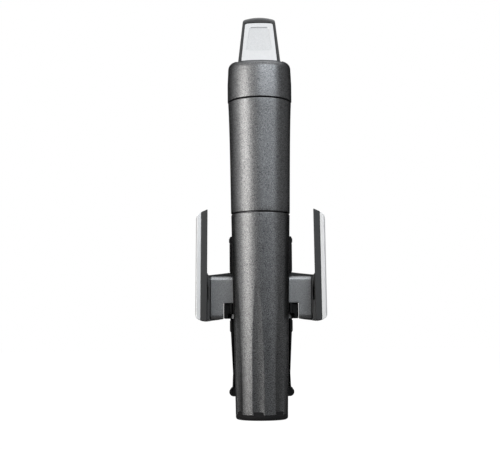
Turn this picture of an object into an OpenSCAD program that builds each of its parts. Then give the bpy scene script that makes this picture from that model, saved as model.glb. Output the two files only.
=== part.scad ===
// Hand-held wine preservation dispenser: a handle with a gas capsule, a needle, a spout and a sprung
// bottle clamp.
// The origin is the middle of the cup's foot. Z points up along the handle and Y points at the spout.

/* [Handle] */
// Height of the capsule cup, from its foot to its mouth
cup_h = 107; // [101:0.5:115]
// Radius of the cup at its foot
cup_foot_r = 13.6; // [13.2:0.05:14.2]
// Radius of the cup at its mouth
cup_mouth_r = 15.5; // [15.2:0.05:16]
// Height of the grip between its two parting lines
grip_h = 59.5; // [56:0.5:70]
// Radius of the grip above the cup
grip_low_r = 15.6; // [15.4:0.05:16]
// Radius of the grip under the head
grip_top_r = 16.8; // [16.4:0.05:17.2]
// Part of the grip's flare that comes near its top
grip_flare_share = 0.375; // [0.2:0.005:0.6]
// Width of the parting lines
seam = 0.5; // [0.3:0.05:0.8]
// Wall of the painted shells
shell_wall = 1.6; // [1.4:0.05:1.8]

/* [Cup] */
// Number of flutes round the cup
flute_count = 7; // [5:1:9]
// Width of a flute
flute_w = 5.3; // [4:0.1:6]
// Depth of a flute at the foot
flute_depth = 0.9; // [0.5:0.05:1.1]
// Height at which the flutes run out
flute_h = 72; // [50:1:85]
// Angle of the first flute from the back, towards the right
flute_turn = -7.3; // [-20:0.1:20]
// Height of the dark ring at the foot
ring_h = 2.6; // [2:0.1:3.5]
// Rounding of the ring's lower edge
ring_edge_r = 1.4; // [0.6:0.1:1.8]
// Height of the ring's tabs in the flutes
tab_h = 1.8; // [1:0.1:3]
// Thickness of the cup's floor
cup_floor = 2.4; // [2:0.1:3]
// Thickness of the rubber cushion under the capsule
cushion_t = 1.2; // [0.8:0.1:1.6]

/* [Gas capsule] */
// Radius of the capsule
capsule_r = 11; // [10.5:0.05:11.2]
// Height of the capsule
capsule_h = 81; // [78:0.5:82]
// Radius of the capsule's neck
capsule_neck_r = 3.9; // [3.5:0.05:4.1]
// Height of the capsule's neck
capsule_neck_h = 8; // [7:0.1:9]
// Rounding of the capsule's shoulder
capsule_shoulder_r = 7.1; // [6:0.05:7.1]
// Wall of the capsule
capsule_wall = 1.8; // [1.4:0.05:2.4]

/* [Head] */
// Height of the head at the handle's axis
head_h = 22; // [20:0.1:23]
// Widest radius of the head
head_r = 17.1; // [16.9:0.05:17.6]
// Height of the head's straight side
head_side_h = 9.5; // [8:0.1:11]
// Radius of the head at its rounded rim
head_rim_r = 16.7; // [16.2:0.05:17]
// Rounding of the head's rim
head_edge_r = 4.2; // [3:0.1:5]
// Rise of the head's top towards the spout, in degrees
head_tilt = 8; // [4:0.5:10]
// Radius of the arm's nose round the needle
nose_r = 9.5; // [9:0.1:10.5]
// Height of the arm's nose
nose_h = 15.5; // [15:0.1:17]
// Thickness of the black plate under the head
base_t = 2.7; // [2.4:0.1:3.2]

/* [Trigger] */
// Lean of the trigger towards the spout, in degrees
trigger_lean = 18; // [14:0.5:20]
// Length of the trigger above the head
trigger_len = 29.2; // [22:0.2:32]
// Width of the trigger where it leaves the head
trigger_root_w = 22.4; // [20:0.1:22.8]
// Width of the trigger at its tip
trigger_tip_w = 17.6; // [14:0.1:19]
// Rise of the trigger's crowned top above its corners
trigger_crown = 1.7; // [0.8:0.1:2.2]
// Thickness of the trigger
trigger_t = 5.6; // [4.6:0.1:6]
// Width of the dark rim beside the silver plate
trigger_rim = 1.6; // [1.2:0.05:2.5]
// Depth of the dark band above the silver plate
trigger_brow = 5.4; // [4:0.1:6.5]
// Thickness of the silver plate
plate_t = 1.2; // [0.8:0.05:1.6]
// Depth of the thumb recess in the silver plate
thumb_depth = 0.35; // [0.2:0.05:0.6]
// Radius of the trigger's pin
trigger_pin_r = 1.25; // [1:0.05:1.4]
// Travel of the trigger, in degrees
trigger_travel = 12; // [6:0.5:12]

/* [Needle and spout] */
// Distance from the handle's axis to the needle
needle_y = 42; // [41:0.5:46]
// Outer radius of the needle
needle_r = 0.95; // [0.7:0.05:1.1]
// Wall of the needle
needle_wall = 0.35; // [0.2:0.05:0.4]
// Length of the needle's point
needle_point = 3; // [2:0.1:5]
// Radius of the knurled needle collar
hub_r = 5.6; // [5.2:0.1:6.2]
// Height of the knurled needle collar
hub_h = 4.6; // [3.6:0.1:5.4]
// Outer radius of the spout
spout_r = 3.4; // [3:0.1:3.8]
// Bore radius of the spout
spout_bore_r = 1.8; // [1.2:0.1:2.2]
// Reach of the spout's straight part beyond the needle
spout_reach = 38; // [30:1:45]
// Bend radius of the spout
spout_bend_r = 9; // [7:0.5:12]
// Bend of the spout's tip, in degrees
spout_bend = 60; // [40:5:75]
// Length of the spout's straight tip
spout_tip = 5; // [4:0.5:8]

/* [Rail and carriage] */
// Half width of the rail's flange
flange_half = 7.5; // [7:0.1:7.8]
// Thickness of the rail's flange
flange_t = 3.8; // [3.2:0.1:4.2]
// Half width of the rail's web
web_half = 4; // [3:0.1:4.4]
// Distance from the handle's axis to the rail's flange
flange_y = 19; // [18.8:0.1:20]
// Sliding clearance of the carriage on the rail
glide = 0.3; // [0.2:0.05:0.4]
// Half width of the carriage
carriage_half = 16.75; // [16.3:0.05:17.4]
// Front face of the carriage, from the handle's axis
carriage_y = 25.6; // [25.4:0.1:26.4]
// Half width of the carriage's tail at its foot
tail_half = 15.3; // [14.8:0.05:16]
// Lowest point of the carriage
carriage_z = 16.35; // [15.5:0.05:18]
// Height of the tapered tail
tail_h = 29.65; // [27:0.1:32]
// Height of the carriage up to the bottle foot
carriage_h = 80; // [78:0.5:84]
// Thickness of the plate that rests on the bottle's mouth
foot_t = 3.6; // [3:0.1:4.2]
// Radius of the plate that rests on the bottle's mouth
foot_r = 13; // [12:0.1:14]
// Clearance between the carriage and the handle
handle_gap = 0.4; // [0.3:0.05:0.5]
// Radius of the end stop's rounded ends
stop_r = 2.35; // [2:0.05:2.6]
// Half width of the end stop
stop_half = 17.25; // [17:0.05:18]

/* [Clamp] */
// Radius of the bottle neck that the clamp holds
neck_r = 14; // [13.8:0.05:14.6]
// Radial play between the neck and the pads
neck_play = 0.1; // [0.05:0.01:0.2]
// Thickness of the rubber pads
pad_t = 1.5; // [1.2:0.05:1.8]
// Half angle of the neck rest behind the neck
rest_half_angle = 60; // [56:1:62]
// Angle from the back at which a jaw pad begins
jaw_start_angle = 72; // [70:1:80]
// Angle that a jaw pad spans
jaw_span_angle = 76; // [60:1:80]
// Thickness of a jaw behind its pad
jaw_t = 2.9; // [2.4:0.1:3.4]
// Height of the jaws
jaw_h = 16; // [12:0.5:16.4]
// Distance from the middle to a hinge pin
pivot_x = 14.7; // [14.4:0.05:15]
// Distance from the handle's axis to the hinge pins
pivot_y = 18; // [17.5:0.1:18.4]
// Radius of a hinge pin
pin_r = 1.4; // [1.2:0.05:1.5]
// Radius of a hinge pin's head
pin_head_r = 2.8; // [2:0.05:3]
// Height of a hinge pin's head
pin_head_h = 2.4; // [1.8:0.1:2.6]
// Radius of a lever's hub
lever_hub_r = 3.6; // [3.4:0.05:3.8]
// Foot of the hinge ears
ear_z = 52.6; // [52:0.1:53.5]
// Height of the lower hinge ears
ear_h = 7.9; // [7:0.1:8.4]
// Height of a lever's hub
lever_hub_h = 16.4; // [15.6:0.1:17]

/* [Wings] */
// Distance from the middle to the back edge of a wing's inner face
wing_in_x = 28.4; // [28:0.05:30]
// Distance from the middle to a wing's widest point
wing_out_x = 35.05; // [34.6:0.05:37]
// Thickness of the silver wing cover
cover_t = 2.15; // [1.6:0.05:2.4]
// Foot of the wings
wing_z = 51; // [50.5:0.1:52]
// Height of the wings
wing_h = 59; // [52:0.2:64]
// Back edge of the wings, from the handle's axis
wing_back_y = -3; // [-6:0.1:0]
// Depth of the wings from back to front
wing_depth = 23; // [20:0.5:25]
// Radius of the wing's outward curve
wing_curve_r = 60; // [45:1:90]
// Outward lean of the wings towards their foot, in degrees
wing_lean = 0.6; // [0:0.1:1.5]
// Inner edge of the elbow, where the silver arm plate ends
elbow_x = 27; // [26:0.05:27.6]
// Back face of a silver arm plate, from the handle's axis
arm_plate_y = 10.4; // [10.2:0.05:10.8]
// Thickness of a silver arm plate
arm_plate_t = 1.1; // [0.8:0.05:1.4]
// Thickness of an arm
arm_t = 6.2; // [5.4:0.1:6.4]
// Height of the silver arm plates
arm_plate_h = 22.7; // [21:0.1:23]

/* [Hidden] */
$fn = 64;

// Overrun of cuts past the faces that they open
over = 1;
// Play of a shaft in its hole, and of pieces that seat on each other
run_fit = 0.05;
seat = 0.1;
// Steps in a curved outline, and sides of the rounded hulls
curve_steps = 12;
hull_sides = 48;

// Heights of the handle's parts
grip_z = cup_h + seam;
head_z = grip_z + grip_h + seam;
grip_in_low_r = grip_low_r - shell_wall;
grip_in_top_r = grip_top_r - shell_wall;

// Regulator and its thread in the cup's mouth
thread_cover = 0.9;
thread_r = cup_mouth_r - shell_wall - thread_cover;
thread_h = 15;
socket_wall = 2.4;
socket_depth = 6;
capsule_z = ring_h + cup_floor + cushion_t + seat;
capsule_top_z = capsule_z + capsule_h;
seal_t = 1.4;
piercing_r = 1.5;
piercing_tip = 1.6;
piercing_tip_r = 0.9;
pin_seat_h = 8;
capsule_mouth_r = 1.2;
capsule_play = 0.4;
socket_top_z = capsule_top_z + seal_t + seat;
spigot_z = max(cup_h - thread_h, socket_top_z - socket_depth);
barrel_r = grip_in_low_r - seat;
barrel_h = 38;
barrel_top_z = grip_z + barrel_h;
piston_bore_r = 9;
piston_rise = 20;
piston_z = grip_z + piston_rise;
piston_h = 5;
piston_stem_r = 1.4;
piston_stem_h = 7;
piston_boss_h = 2;
piston_room = 1.2;
cap_step_h = 2;
cap_h = 6;
cap_key_r = 3;
cap_key_h = 1.6;
gas_tube_r = 1.6;
gas_tube_bore_r = 0.9;
gas_tube_y = 8.5;
gas_tube_seat = 2.4;
ring_boss_r = 4;
cushion_r = 8;

// Head
nose_edge_r = head_edge_r;
base_z = head_z + 3 * seat;
base_top_z = base_z + base_t;
base_collar_h = 7;
base_collar_wall = 2.4;
trigger_pin_rise = 7;
trigger_pin_z = head_z + trigger_pin_rise;
trigger_block_half = 3;
trigger_root_y = -8.3;
trigger_root_rise = 21;
trigger_root_z = head_z + trigger_root_rise;
trigger_pin_y = trigger_root_y + trigger_block_half;
trigger_block_w = 16.4;
trigger_ear_t = 2.2;
trigger_tip_r = 3.4;
trigger_crown_r = (pow(trigger_tip_w / 2, 2) / trigger_crown + trigger_crown) / 2;
plate_crown = 0.3;
trigger_nose_r = 4.2;
trigger_gap = 0.8;
trigger_front_room = 3.1;
trigger_swing_room = (head_h - trigger_pin_rise) * sin(trigger_travel) + trigger_front_room;
spring_slot_rise = 1.6;
plate_corner_r = 1.4;
plate_sink = 1;
plate_root = 2.2;
spring_slot_w = 6.4;
valve_rise = 8;
valve_z = trigger_pin_z + valve_rise;
valve_y = 5;
valve_len = 21;
valve_half = 6.5;
valve_lid_t = 2.2;
valve_top_z = valve_z + valve_lid_t;
valve_roof = 5;
valve_seal_in = 3;
valve_seal_y = valve_y + valve_seal_in;
valve_seal_t = 1;
valve_seal_w = 0.6;
pipe_r = 2;
pipe_reach = 2;
plunger_r = 1.5;
plunger_head_r = 2;
plunger_collar_t = 1;
plunger_travel_room = 4;
flow_half = 5;
flow_back = 6;
flow_back_y = needle_y - flow_back;
flow_len = 11.8;
flow_h = 8;
spout_rise = 4.4;
spout_z = base_top_z + spout_rise;
spout_seat_r = 2.9;
spout_root = 2;
needle_seat = 2;
spout_step = 0.2;
collar_r = 5;
collar_h = 2.6;

// Needle
hub_thread_r = 4.5;
hub_boss_r = 7.2;
hub_boss_h = 3;
hub_top_z = base_top_z;
hub_z = base_z - hub_boss_h - hub_h - seat;
hub_seal_r = 0.45;
knurl_count = 16;
knurl_depth = 0.45;
screw_shank_r = 1;
screw_head_r = 2.1;
screw_head_h = 1.1;
screw_slot_w = 0.6;
screw_boss_t = 0.5;
head_screw_bite = 5;
head_screw_len = base_t + head_screw_bite;

// Carriage, foot and rail
foot_top_z = carriage_z + carriage_h;
foot_z = foot_top_z - foot_t;
guide_r = 3;
guide_flange_r = 4.4;
guide_flange_t = 0.7;
guide_play = 0.3;
needle_cover = 1;
needle_tip_z = foot_z + needle_cover;
foot_pad_t = 1.4;
foot_pad_in_r = 6;
body_z = carriage_z + tail_h;
lip_h = 3.2;
lip_out = 0.25;
lip_half = carriage_half + lip_out;
lip_groove = 0.5;
collar_tail_h = 5.6;
carriage_back_y = 8;
front_t = carriage_y - flange_y - flange_t - glide;
clear_r = grip_top_r + handle_gap;
stop_z = carriage_z - 3 * seat - stop_r;
stop_back_y = 9;
stop_gap = 1.2;
rail_z = stop_z + stop_r - seat;
rail_top_z = base_z - 3 * seat;
rail_screw_shares = [0.18, 0.5, 0.82];
rail_screw_len = flange_y + flange_t - barrel_r - 4 * seat;
end_screw_len = 7;

// Clamp
ear_reach = 5.35;
jaw_rise = 5;
pad_r = neck_r + neck_play;
pad_back_r = pad_r + pad_t;
jaw_back_r = pad_back_r + jaw_t;
rest_t = 1.2;
jaw_lap_angle = 4;
jaw_z = ear_z + jaw_rise;
hub_play = 0.3;
hub_low_z = ear_z + ear_h + hub_play;
hub_high_z = hub_low_z + lever_hub_h;
link_in_x = carriage_half + handle_gap;
link_t = 3.1;
web_t = 3.2;
pocket_in_x = flange_half + 3.2;
pin_top = 6;
arm_y = arm_plate_y + arm_plate_t;
arm_in_x = pivot_x + seat;
notch_gap = 0.15;
notch_x = pivot_x + ear_reach + notch_gap;
sweep_r = ear_reach * sqrt(2) + 3 * seat;
wing_mid_y = wing_back_y + wing_depth / 2;
wing_corner_r = 6;
wing_slope = 23;
wing_edge_r = 6.8;
wing_foot_r = 5.2;
wing_foot_rise = 0.3;
wing_bow = 0.6;
wing_screw_len = wing_out_x - cover_t - wing_in_x - wing_bow - 4 * seat;
wing_screw_shares = [0.6, 0.84];
wing_screw_heights = [for (s = wing_screw_shares) wing_z + wing_h * s];
elbow_sink = 1.8;
elbow_h = 24.1;
elbow_back_y = wing_back_y + 3 * seat;
arm_lift = 0.6;
arm_rise = 1.6;
arm_fillet_r = 1.2;
arm_foot_rise = 1.3;
slot_in = 0.9;
slot_x = wing_in_x - slot_in;
slot_w = 0.7;
slot_h = 7;
slot_deep = 1.6;
slot_low = 11;

// Springs
spring_rings = 8;
spring_sides = 6;
trigger_wire_r = 0.3;
trigger_coil_r = 2.1;
trigger_coil_turns = 4;
trigger_coil_pitch = 1.25;
valve_wire_r = 0.22;
valve_coil_r = 2.3;
valve_coil_turns = 3;
valve_coil_pitch = 1.05;
regulator_wire_r = 0.6;
regulator_coil_r = 5.6;
regulator_coil_turns = 5;
arm_wire_r = 0.3;
arm_coil_r = 2.25;
arm_coil_turns = 5;
arm_coil_pitch = 1.15;
arm_spring_room = 0.25;
arm_spring_bore_r = arm_coil_r + arm_wire_r + arm_spring_room;
arm_spring_h = arm_coil_turns * arm_coil_pitch + 4 * arm_wire_r;

// Radius of the cup at a height, and of the grip at a share of its own height
function cup_r(z) = cup_foot_r + (cup_mouth_r - cup_foot_r) * z / cup_h;
function grip_r(t) = grip_low_r
    + (grip_top_r - grip_low_r) * ((1 - grip_flare_share) * t + grip_flare_share * pow(t, 4));
function grip_line(extra) = [
    for (i = [0:curve_steps]) [grip_r(i / curve_steps) + extra, grip_z + grip_h * i / curve_steps]
];
function arc(cx, cy, r, from, to, steps = curve_steps) = [
    for (i = [0:steps]) let (a = from + (to - from) * i / steps) [cx + r * cos(a), cy + r * sin(a)]
];
// Points of a coil about the Z axis, with a straight run of one wire diameter past each end
function coil_path(r, wire_r, turns, pitch) = let (
    n = turns * spring_rings,
    ring = [
        for (i = [0:n]) let (a = 360 * i / spring_rings) [r * cos(a), r * sin(a), pitch * i / spring_rings]
    ],
    first = [r, -2 * wire_r, 0],
    last = ring[n] + 2 * wire_r * [-sin(360 * n / spring_rings), cos(360 * n / spring_rings), 0]
) concat([first], ring, [last]);
// Least distance between a coil's surfaces, one turn apart, measured on its points
function coil_gap(path, wire_r) = min([
    for (i = [1:len(path) - 2 - spring_rings]) norm(path[i + spring_rings] - path[i]) - 2 * wire_r
]);

module at_flutes() {
    for (k = [0:flute_count - 1])
        rotate([0, 0, flute_turn - 90 + 360 * k / flute_count]) children();
}

module wire_coil(r, wire_r, turns, pitch) {
    path = coil_path(r, wire_r, turns, pitch);
    last = len(path) - 1;
    function ring_at(i) = let (
        t = path[min(i + 1, last)] - path[max(i - 1, 0)],
        along = t / norm(t),
        side = cross(along, [0, 0, 1]) / norm(cross(along, [0, 0, 1])),
        up = cross(side, along)
    ) [for (s = [0:spring_sides - 1]) let (a = 360 * s / spring_sides)
        path[i] + wire_r * (cos(a) * side + sin(a) * up)];
    points = [for (i = [0:last]) each ring_at(i)];
    faces = concat(
        [[for (s = [0:spring_sides - 1]) s]],
        [for (i = [0:last - 1]) for (s = [0:spring_sides - 1])
            let (a = i * spring_sides + s, b = i * spring_sides + (s + 1) % spring_sides)
            each [[a, a + spring_sides, b + spring_sides], [a, b + spring_sides, b]]],
        [[for (s = [spring_sides - 1:-1:0]) last * spring_sides + s]]
    );
    polyhedron(points, faces);
}

module mirrored_x(side) {
    mirror([side < 0 ? 1 : 0, 0, 0]) children();
}

module bar_x(half, r) {
    rotate([0, 90, 0]) cylinder(h = 2 * half, r = r, center = true);
}

module rod_y(y0, y1, r) {
    translate([0, y1, 0]) rotate([90, 0, 0]) cylinder(h = y1 - y0, r = r);
}

module extruded_y(y0, y1) {
    translate([0, y1, 0]) rotate([90, 0, 0]) linear_extrude(y1 - y0) children();
}

module extruded_x(x0, x1) {
    translate([x0, 0, 0]) rotate([90, 0, 90]) linear_extrude(x1 - x0) children();
}

module slotted_screw(len) {
    difference() {
        union() {
            cylinder(h = screw_head_h, r = screw_head_r);
            cylinder(h = len, r = screw_shank_r);
        }
        translate([-screw_head_r - over, -screw_slot_w / 2, -over])
            cube([2 * (screw_head_r + over), screw_slot_w, over + screw_head_h / 2]);
    }
}

module screw_hole(len) {
    translate([0, 0, -over]) cylinder(h = over + screw_head_h + seat, r = screw_head_r + seat);
    cylinder(h = len + seat, r = screw_shank_r + run_fit);
}

// Places of the head's screws, and of the rail's
head_screw_places = [
    [-hub_boss_r, flow_back_y - 1.5 * screw_head_r], [hub_boss_r, flow_back_y - 1.5 * screw_head_r]
];
rail_screw_heights = [for (s = rail_screw_shares) grip_z + grip_h * s];

module handle_hull(shrink) {
    rim_z = head_z + head_h - head_edge_r;
    edge_r = head_edge_r - shrink / 2;
    hull($fn = hull_sides) {
        translate([0, 0, head_z]) cylinder(h = head_side_h, r = head_r - shrink, $fn = hull_sides);
        translate([0, 0, rim_z - shrink / 2]) rotate([head_tilt, 0, 0])
            rotate_extrude($fn = hull_sides)
                translate([head_rim_r - head_edge_r - shrink / 2, 0]) circle(edge_r, $fn = hull_sides / 2);
        translate([0, needle_y, head_z])
            cylinder(h = nose_h - nose_edge_r - shrink, r = nose_r - shrink, $fn = hull_sides);
        translate([0, needle_y, head_z + nose_h - nose_edge_r - shrink / 2])
            rotate_extrude($fn = hull_sides)
                translate([nose_r - nose_edge_r - shrink / 2, 0]) circle(edge_r, $fn = hull_sides / 2);
    }
}

module head_outline_prism(shrink, z0, h) {
    hull() {
        translate([0, 0, z0]) cylinder(h = h, r = head_r - shrink, $fn = hull_sides);
        translate([0, needle_y, z0]) cylinder(h = h, r = nose_r - shrink, $fn = hull_sides);
    }
}

module grip_shell() {
    color("dimgray") difference() {
        rotate_extrude() polygon(concat(
            grip_line(0), [[grip_in_top_r, grip_z + grip_h], [grip_in_low_r, grip_z]]
        ));
        for (z = rail_screw_heights) translate([0, 0, z])
            rod_y(0, grip_top_r + over, screw_shank_r + run_fit);
    }
}

module head_shell() {
    slot_half = trigger_root_w / 2 + trigger_gap;
    plate_reach = plate_root * sin(trigger_lean) + (plate_t - plate_sink) * cos(trigger_lean);
    slot_back = trigger_root_y - max(trigger_gap, plate_reach + 2 * seat);
    slot_front = trigger_root_y + trigger_t + trigger_swing_room;
    color("dimgray") difference() {
        handle_hull(0);
        difference() {
            handle_hull(shell_wall);
            for (p = head_screw_places) translate([p[0], p[1], base_top_z])
                cylinder(h = head_h, r = screw_head_r + screw_boss_t);
        }
        head_outline_prism(shell_wall, head_z - over, over + base_top_z - head_z);
        translate([-slot_half, slot_back, trigger_pin_z + trigger_block_half + trigger_gap])
            cube([2 * slot_half, slot_front - slot_back, head_h]);
        translate([0, 0, spout_z]) rod_y(needle_y, needle_y + nose_r + over, spout_r + seat);
        for (p = head_screw_places) translate([p[0], p[1], base_z])
            cylinder(h = head_screw_len + seat, r = screw_shank_r + run_fit);
    }
}

module head_base() {
    color("black") difference() {
        union() {
            head_outline_prism(shell_wall + seat, base_z, base_t);
            translate([0, 0, base_z - base_collar_h])
                cylinder(h = base_collar_h + base_t, r = grip_in_top_r - 3 * seat);
            translate([0, needle_y, base_z - hub_boss_h]) cylinder(h = hub_boss_h + base_t, r = hub_boss_r);
            for (s = [-1, 1]) mirrored_x(s)
                translate([trigger_block_w / 2 + 2 * seat, trigger_root_y, base_z])
                    cube([
                        trigger_ear_t, 2 * trigger_block_half,
                        trigger_pin_z + trigger_block_half - base_z
                    ]);
        }
        translate([0, 0, base_z - base_collar_h - over])
            cylinder(h = base_collar_h + over, r = grip_in_top_r - base_collar_wall);
        translate([0, needle_y, base_z - hub_boss_h - over])
            cylinder(h = hub_boss_h + base_t + 2 * over, r = hub_thread_r + run_fit);
        translate([0, gas_tube_y, base_z - base_collar_h - over])
            cylinder(h = base_collar_h + base_t + 2 * over, r = gas_tube_r + seat);
        translate([0, trigger_pin_y, trigger_pin_z])
            bar_x(trigger_block_w, trigger_pin_r + run_fit);
        for (p = head_screw_places) translate([p[0], p[1], base_z]) screw_hole(base_t + over);
    }
}

module head_screws() {
    color("silver") for (p = head_screw_places)
        translate([p[0], p[1], base_z + seat]) slotted_screw(head_screw_len - seat);
}

module valve_block() {
    color("gainsboro") difference() {
        union() {
            translate([-valve_half, valve_y, base_top_z + seat])
                cube([2 * valve_half, valve_len, valve_top_z - base_top_z - seat]);
            translate([0, 0, spout_z])
                rod_y(valve_y + valve_len - over, flow_back_y + pipe_reach, pipe_r);
        }
        translate([0, 0, valve_z])
            rod_y(valve_y - over, valve_y + valve_len - valve_roof, plunger_r + run_fit);
        translate([0, 0, valve_z])
            rod_y(valve_seal_y, valve_seal_y + valve_seal_t + 2 * seat, plunger_r + valve_seal_w);
        translate([0, gas_tube_y, base_top_z]) cylinder(h = gas_tube_seat, r = gas_tube_r + seat);
        translate([0, 0, spout_z])
            rod_y(valve_y + valve_len / 2, flow_back_y + pipe_reach + over, pipe_r / 2);
    }
}

module valve_seal() {
    color("black") translate([0, valve_seal_y + valve_seal_t + seat, valve_z]) rotate([90, 0, 0])
        difference() {
        cylinder(h = valve_seal_t, r = plunger_r + valve_seal_w - seat);
        translate([0, 0, -over]) cylinder(h = valve_seal_t + 2 * over, r = plunger_r + run_fit);
    }
}

module gas_tube() {
    z0 = barrel_top_z + cap_h - gas_tube_seat + 2 * seat;
    color("silver") translate([0, gas_tube_y, z0]) difference() {
        cylinder(h = base_top_z + gas_tube_seat - seat - z0, r = gas_tube_r);
        translate([0, 0, -over]) cylinder(h = head_z + head_h - z0, r = gas_tube_bore_r);
    }
}

module flow_block() {
    color("gainsboro") difference() {
        translate([-flow_half, flow_back_y, base_top_z + seat]) cube([2 * flow_half, flow_len, flow_h]);
        translate([0, 0, spout_z])
            rod_y(flow_back_y - over, flow_back_y + pipe_reach + 2 * run_fit, pipe_r + run_fit);
        translate([0, 0, spout_z]) rod_y(needle_y, flow_back_y + flow_len + over, spout_seat_r + run_fit);
        translate([0, 0, spout_z]) rod_y(flow_back_y, needle_y + over, pipe_r / 2);
        translate([0, needle_y, base_top_z]) cylinder(h = needle_seat + seat, r = needle_r + run_fit);
    }
}

module spout() {
    root_y = needle_y + spout_root;
    seat_y = flow_back_y + flow_len + seat;
    bend_y = needle_y + spout_reach;
    color("black") translate([0, 0, spout_z]) {
        difference() {
            union() {
                rod_y(root_y, seat_y + over, spout_seat_r);
                rod_y(seat_y, bend_y, spout_r);
            }
            rod_y(root_y - over, bend_y + over, spout_bore_r + spout_step);
        }
        translate([0, bend_y, -spout_bend_r]) rotate([90, 0, 90]) rotate([0, 0, 90 - spout_bend])
            spout_elbow();
    }
}

// Bend and straight tip of the spout, about the middle of its bend
module spout_elbow() {
    difference() {
        union() {
            rotate_extrude(angle = spout_bend) translate([spout_bend_r, 0]) circle(spout_r + spout_step);
            translate([spout_bend_r, 0, 0]) rotate([90, 0, 0]) cylinder(h = spout_tip, r = spout_r);
        }
        rotate_extrude(angle = spout_bend) translate([spout_bend_r, 0]) circle(spout_bore_r);
        translate([spout_bend_r, 0, 0]) rotate([90, 0, 0])
            cylinder(h = spout_tip + over, r = spout_bore_r + spout_step);
    }
}

module spout_collar() {
    y0 = needle_y + nose_r + seat;
    color("silver") translate([0, 0, spout_z]) difference() {
        rod_y(y0, y0 + collar_h, collar_r);
        rod_y(y0 - over, y0 + collar_h + over, spout_r + run_fit);
    }
}

module needle() {
    color("silver") translate([0, needle_y, 0]) difference() {
        union() {
            translate([0, 0, needle_tip_z + needle_point])
                cylinder(h = base_top_z + needle_seat - needle_tip_z - needle_point, r = needle_r);
            translate([0, 0, needle_tip_z]) cylinder(h = needle_point, r1 = needle_wall / 3, r2 = needle_r);
        }
        translate([0, 0, needle_tip_z + 2 * needle_point])
            cylinder(h = head_z, r = needle_r - needle_wall);
        translate([0, 0, needle_tip_z + 2 * needle_point + 2 * needle_r])
            bar_x(needle_r + over, needle_wall);
    }
}

module needle_hub() {
    thread_len = hub_top_z - hub_z - hub_h;
    color("black") translate([0, needle_y, hub_z]) difference() {
        union() {
            cylinder(h = hub_h, r = hub_r);
            cylinder(h = hub_h + thread_len, r = hub_thread_r);
        }
        translate([0, 0, -over]) cylinder(h = hub_h + thread_len + 2 * over, r = needle_r + run_fit / 2);
        for (k = [0:knurl_count - 1]) rotate([0, 0, 360 * k / knurl_count])
            translate([hub_r + knurl_depth, 0, -over]) cylinder(h = hub_h + 2 * over, r = 2 * knurl_depth);
        translate([0, 0, hub_h + 2 * hub_seal_r + seat]) difference() {
            cylinder(h = 2 * hub_seal_r + seat, r = hub_r);
            translate([0, 0, -over]) cylinder(h = hub_h, r = hub_thread_r - 2 * hub_seal_r - seat);
        }
    }
}

module hub_seal() {
    color("black") translate([0, needle_y, hub_z + hub_h + 3 * hub_seal_r + 1.5 * seat])
        rotate_extrude() translate([hub_thread_r - hub_seal_r, 0]) circle(hub_seal_r, $fn = 24);
}

module rail() {
    color("black") difference() {
        union() {
            translate([-flange_half, flange_y, rail_z])
                cube([2 * flange_half, flange_t, rail_top_z - rail_z]);
            translate([-web_half, 0, rail_z]) cube([2 * web_half, flange_y + over, rail_top_z - rail_z]);
        }
        rotate_extrude() polygon(concat(
            [[0, 0], [cup_mouth_r + handle_gap, 0], [cup_mouth_r + handle_gap, grip_z]],
            grip_line(seat), [[grip_top_r + seat, rail_top_z + over], [0, rail_top_z + over]]
        ));
        for (z = rail_screw_heights) translate([0, flange_y + flange_t, z]) rotate([90, 0, 0]) {
            screw_hole(rail_screw_len);
        }
        translate([0, flange_y + flange_t / 2, rail_z])
            cylinder(h = end_screw_len, r = screw_shank_r + run_fit);
    }
}

module rail_screws() {
    color("silver") for (z = rail_screw_heights)
        translate([0, flange_y + flange_t - seat, z]) rotate([90, 0, 0])
            slotted_screw(rail_screw_len - seat);
}

module rail_end_stop() {
    y0 = stop_back_y;
    color("black") difference() {
        union() {
            for (s = [-1, 1]) translate([s * (stop_half - stop_r), 0, stop_z])
                rod_y(y0, carriage_y, stop_r);
            translate([-stop_half + stop_r, y0, stop_z - stop_r])
                cube([2 * (stop_half - stop_r), carriage_y - y0, 2 * stop_r]);
        }
        translate([0, 0, -over]) cylinder(h = grip_z, r = cup_foot_r + stop_gap);
        translate([0, flange_y + flange_t / 2, stop_z - stop_r]) screw_hole(3 * stop_r);
        translate([-flange_half - seat, flange_y - seat, rail_z - seat])
            cube([2 * (flange_half + seat), flange_t + 2 * seat, 2 * stop_r]);
        translate([-web_half - seat, 0, rail_z - seat])
            cube([2 * (web_half + seat), flange_y, 2 * stop_r]);
    }
}

module end_stop_screw() {
    color("silver") translate([0, flange_y + flange_t / 2, stop_z - stop_r + seat])
        slotted_screw(2 * stop_r + end_screw_len - 10 * seat);
}

module regulator_body() {
    color("dimgray") difference() {
        union() {
            translate([0, 0, socket_top_z - socket_depth])
                cylinder(
                    h = spigot_z - socket_top_z + socket_depth + over, r = capsule_neck_r + socket_wall
                );
            translate([0, 0, spigot_z]) cylinder(h = thread_h + over, r = thread_r - run_fit);
            translate([0, 0, cup_h + seat]) cylinder(h = barrel_top_z - cup_h - seat, r = barrel_r);
        }
        translate([0, 0, socket_top_z - socket_depth - over])
            cylinder(h = socket_depth + over, r = capsule_neck_r + 2 * seat);
        translate([0, 0, socket_top_z - over]) cylinder(h = pin_seat_h + over, r = piercing_r + run_fit);
        translate([0, 0, socket_top_z]) cylinder(h = piston_z - socket_top_z + over, r = gas_tube_bore_r);
        translate([0, 0, piston_z - piston_stem_h - over])
            cylinder(h = piston_stem_h + over, r = piston_stem_r + run_fit);
        translate([0, 0, piston_z - piston_room])
            cylinder(h = barrel_top_z - piston_z + 2 * over, r = piston_bore_r);
    }
}

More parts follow.
